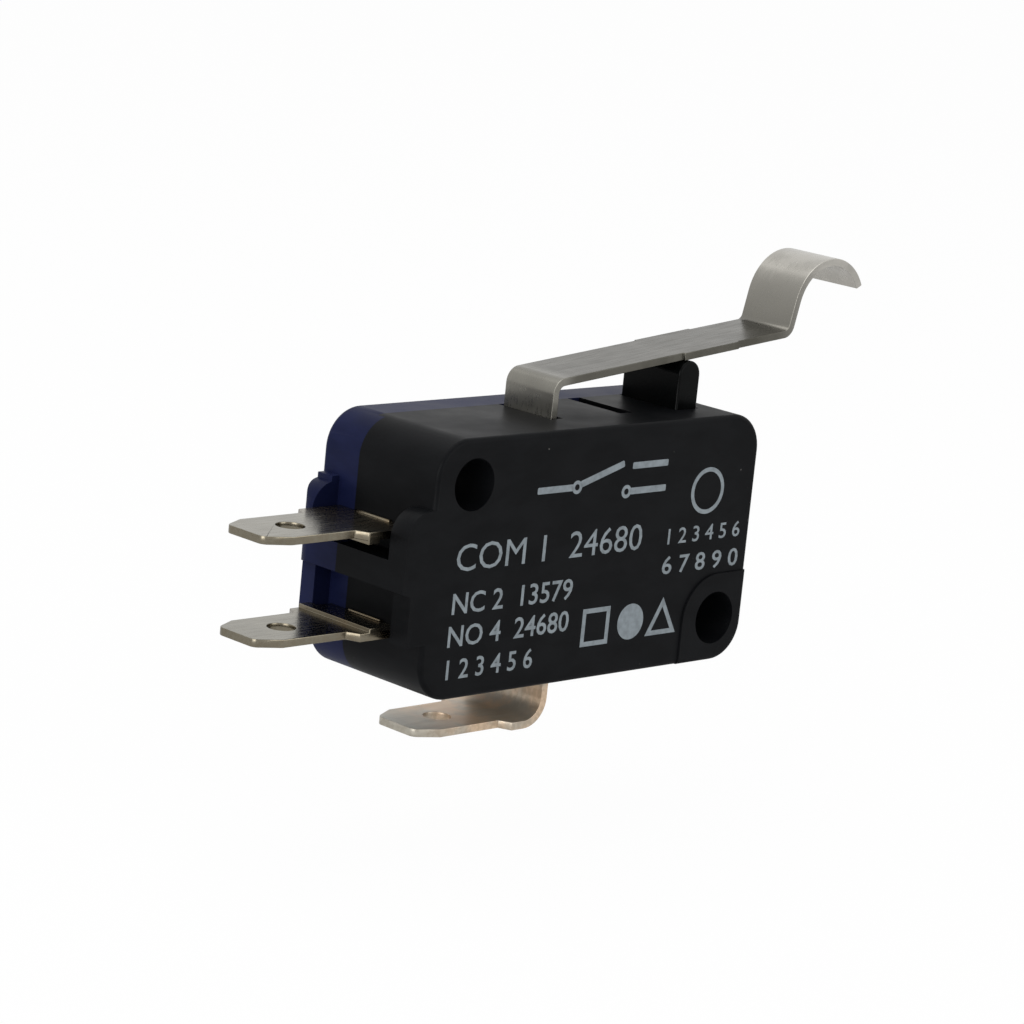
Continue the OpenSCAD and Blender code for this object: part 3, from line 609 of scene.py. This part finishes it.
def ink_disc(centre, radius, line=0.0, corners=48, turn=0.0):
    """Disc of ink or, with a line width, a ring of it; few corners make a triangle or a square."""
    bpy.ops.object.select_all(action="DESELECT")
    bpy.ops.mesh.primitive_circle_add(vertices=corners, radius=1.0, fill_type="NGON")
    disc = bpy.context.active_object
    disc.data.transform(Matrix.Rotation(math.radians(turn), 4, "Z"))
    disc.data.transform(Matrix.Diagonal((radius * MM, radius * MM, 1, 1)))
    bpy.ops.object.mode_set(mode="EDIT")
    bpy.ops.mesh.select_all(action="SELECT")
    if line > 0:
        bpy.ops.mesh.inset(thickness=line * MM, use_even_offset=True)
        bpy.ops.mesh.delete(type="FACE")
    bpy.ops.object.mode_set(mode="OBJECT")
    return set_on_front(disc, centre)


def set_on_front(flat, middle):
    """Stands a flat mesh up on the case's front, facing outwards."""
    flat.data.transform(Matrix.Rotation(math.radians(90), 4, "X"))
    flat.data.transform(Matrix.Translation(ink_place(*middle)))
    return flat


def joined(name, parts):
    """One mesh from several."""
    pick_only(*parts)
    if len(parts) > 1:
        bpy.ops.object.join()
    parts[0].name = name
    parts[0].data.name = name
    return parts[0]


def lettering(name, words, left, low, height, stretch, bold):
    """A row of plain numerals or contact names, made a mesh and laid on the front."""
    bpy.ops.object.select_all(action="DESELECT")
    bpy.ops.object.text_add(location=(0, 0, 0))
    row = bpy.context.active_object
    row.data.body = words
    row.data.size = height / CAPITAL_SHARE * MM
    row.data.resolution_u = 3
    row.data.offset = bold
    row.name = name
    pick_only(row)
    bpy.ops.object.convert(target="MESH")
    row = bpy.context.active_object
    row.data.transform(Matrix.Rotation(math.radians(90), 4, "X"))
    row.data.transform(Matrix.Diagonal((stretch, 1, 1, 1)))
    row.data.transform(Matrix.Translation(ink_place(left, low)))
    row.matrix_world = Matrix.Identity(4)
    return row


class SWITCH_OT_marks(bpy.types.Operator):
    """Plain printed marks: a contact diagram, terminal names, numerals and simple shapes"""

    bl_idname = "switch.marks"
    bl_label = "Printed marks"

    def execute(self, context):
        width = context.scene.switch_print.stroke / MM
        height = context.scene.switch_print.digit_height / MM
        ink = finishes()["ink"]
        # Changeover diagram across the top
        diagram = [ink_bar(start, end, width * 1.5) for start, end in DIAGRAM_BARS]
        diagram += [ink_disc(place, PIVOT_R, width * 0.8) for place in DIAGRAM_PIVOTS]
        pieces = [joined("mark_diagram", diagram), joined("mark_ring", [ink_disc(RING_AT, RING_R, width)])]
        # Plain square, disc and triangle beside the lower hole
        shapes = [
            ink_disc(SQUARE_AT, SQUARE_R, width * 1.1, 4, 45),
            ink_disc(DISC_AT, DISC_R),
            ink_disc(TRIANGLE_AT, TRIANGLE_R, width * 1.1, 3),
        ]
        pieces.append(joined("mark_shapes", shapes))
        for name, words, left, low, share, stretch, bold in ROWS:
            pieces.append(lettering(name, words, left, low, height * share, stretch, bold * height * MM))
        for piece in pieces:
            dressed(piece, ink, "housing", "case_plastic")
        return {"FINISHED"}


# ---- Stage ----

SENSOR_WIDTH = 36.0  # millimetres
CAMERA_AT = (-0.168924, -0.149317, 0.054255)
CAMERA_TURN = (77.7216, -5.6001, -43.8969)  # degrees about X, Y and Z
FLOOR_SIZE = 3.0
FLOOR_SEEN = 0.965  # how much of the floor that the camera sees is plain white
SHADE_LIGHT = 0.6  # strength of the world where it lights the switch
# Name, distance from the switch's middle along X and Y, height, size and share of the main power
LAMPS = (
    ("top_panel", -0.05, 0.05, 0.35, 0.30, 0.4),
    ("left_panel", -0.35, -0.10, 0.10, 0.22, 0.6),
    ("front_panel", 0.10, -0.38, 0.12, 0.26, 0.45),
)


def soft_panel(name, place, target, size, power):
    """A soft square lamp turned to a place."""
    lamp = bpy.data.lights.new(name, "AREA")
    lamp.shape = "RECTANGLE"
    lamp.size = lamp.size_y = size
    lamp.energy = power
    holder = bpy.data.objects.new(name, lamp)
    bpy.context.scene.collection.objects.link(holder)
    holder.location = place
    holder.rotation_euler = (Vector(target) - Vector(place)).to_track_quat("-Z", "Y").to_euler()
    return holder


class SWITCH_OT_stage(bpy.types.Operator):
    """Pale floor, soft light and camera"""

    bl_idname = "switch.stage"
    bl_label = "Stage"

    def execute(self, context):
        setup = context.scene.switch_stage
        lens = bpy.data.cameras.new("camera")
        lens.lens = setup.lens
        lens.sensor_width = SENSOR_WIDTH
        lens.clip_start, lens.clip_end = 0.01, 10.0
        camera = bpy.data.objects.new("camera", lens)
        context.scene.collection.objects.link(camera)
        camera.location = CAMERA_AT
        camera.rotation_euler = tuple(math.radians(angle) for angle in CAMERA_TURN)
        context.scene.camera = camera

        middle = (LOW + HIGH) / 2
        bpy.ops.object.select_all(action="DESELECT")
        bpy.ops.mesh.primitive_grid_add(x_subdivisions=4, y_subdivisions=4, size=FLOOR_SIZE,
                                        location=(middle.x, middle.y, LOW.z - setup.floor_drop))
        floor = context.active_object
        floor.name = "floor"
        finish, tree, shader, _ = new_material("pale_floor")
        shader.inputs["Base Color"].default_value = (0.86, 0.86, 0.86, 1.0)
        shader.inputs["Roughness"].default_value = 0.9
        shader.inputs["Specular IOR Level"].default_value = 0.1
        out = next(node for node in tree.nodes if node.type == "OUTPUT_MATERIAL")
        glow = tree.nodes.new("ShaderNodeEmission")
        glow.inputs["Color"].default_value = (1.0, 1.0, 1.0, 1.0)
        glow.inputs["Strength"].default_value = 1.0
        rays = tree.nodes.new("ShaderNodeLightPath")
        seen = math_of(tree, "MULTIPLY", rays.outputs["Is Camera Ray"], FLOOR_SEEN)
        either = tree.nodes.new("ShaderNodeMixShader")
        tree.links.new(seen, either.inputs["Fac"])
        tree.links.new(shader.outputs["BSDF"], either.inputs[1])
        tree.links.new(glow.outputs["Emission"], either.inputs[2])
        tree.links.new(either.outputs["Shader"], out.inputs["Surface"])
        floor.data.materials.append(finish)

        world = bpy.data.worlds.new("studio")
        context.scene.world = world
        world.use_nodes = True
        sky = world.node_tree
        sky.nodes.clear()
        out = sky.nodes.new("ShaderNodeOutputWorld")
        back = sky.nodes.new("ShaderNodeBackground")
        rays = sky.nodes.new("ShaderNodeLightPath")
        shown = math_of(sky, "MAXIMUM", rays.outputs["Is Camera Ray"], rays.outputs["Is Glossy Ray"])
        shown = math_of(sky, "MAXIMUM", shown, rays.outputs["Is Transmission Ray"])
        back.inputs["Color"].default_value = (1.0, 1.0, 1.0, 1.0)
        sky.links.new(span(sky, shown, 0.0, 1.0, SHADE_LIGHT, 1.0), back.inputs["Strength"])
        sky.links.new(back.outputs["Background"], out.inputs["Surface"])

        for name, along, deep, up, size, share in LAMPS:
            soft_panel(name, (middle.x + along, middle.y + deep, up), middle, size, share * setup.key_light)

        context.scene.view_settings.view_transform = "Standard"
        return {"FINISHED"}


# ---- Sidebar ----

STEPS = ("housing", "plunger", "lever", "terminals", "mechanism", "marks", "stage")


class SWITCH_PT_sidebar(bpy.types.Panel):
    """Lists the steps that build the switch's look"""

    bl_idname = "SWITCH_PT_sidebar"
    bl_label = "Lever micro switch"
    bl_space_type = "VIEW_3D"
    bl_region_type = "UI"
    bl_category = "Micro switch"

    def draw(self, context):
        for name in GROUPS:
            group = getattr(context.scene, name)
            for field in group.bl_rna.properties:
                if field.identifier not in ("rna_type", "name"):
                    self.layout.prop(group, field.identifier)
        for step in STEPS:
            self.layout.operator("switch." + step)


GROUPS = {
    "switch_edges": SwitchEdges,
    "switch_colours": SwitchColours,
    "switch_print": SwitchPrint,
    "switch_stage": SwitchStage,
}
CLASSES = (
    *GROUPS.values(), SWITCH_OT_housing, SWITCH_OT_plunger, SWITCH_OT_lever, SWITCH_OT_terminals,
    SWITCH_OT_mechanism, SWITCH_OT_marks, SWITCH_OT_stage, SWITCH_PT_sidebar,
)


def register():
    """Makes the groups, steps and sidebar known."""
    for kind in CLASSES:
        bpy.utils.register_class(kind)
    for name, kind in GROUPS.items():
        setattr(bpy.types.Scene, name, bpy.props.PointerProperty(type=kind))


def unregister():
    """Takes them away again."""
    for name in GROUPS:
        delattr(bpy.types.Scene, name)
    for kind in reversed(CLASSES):
        bpy.utils.unregister_class(kind)


def main():
    """Builds the look step by step."""
    register()
    for step in STEPS:
        getattr(bpy.ops.switch, step)()


if __name__ == "__main__":
    main()
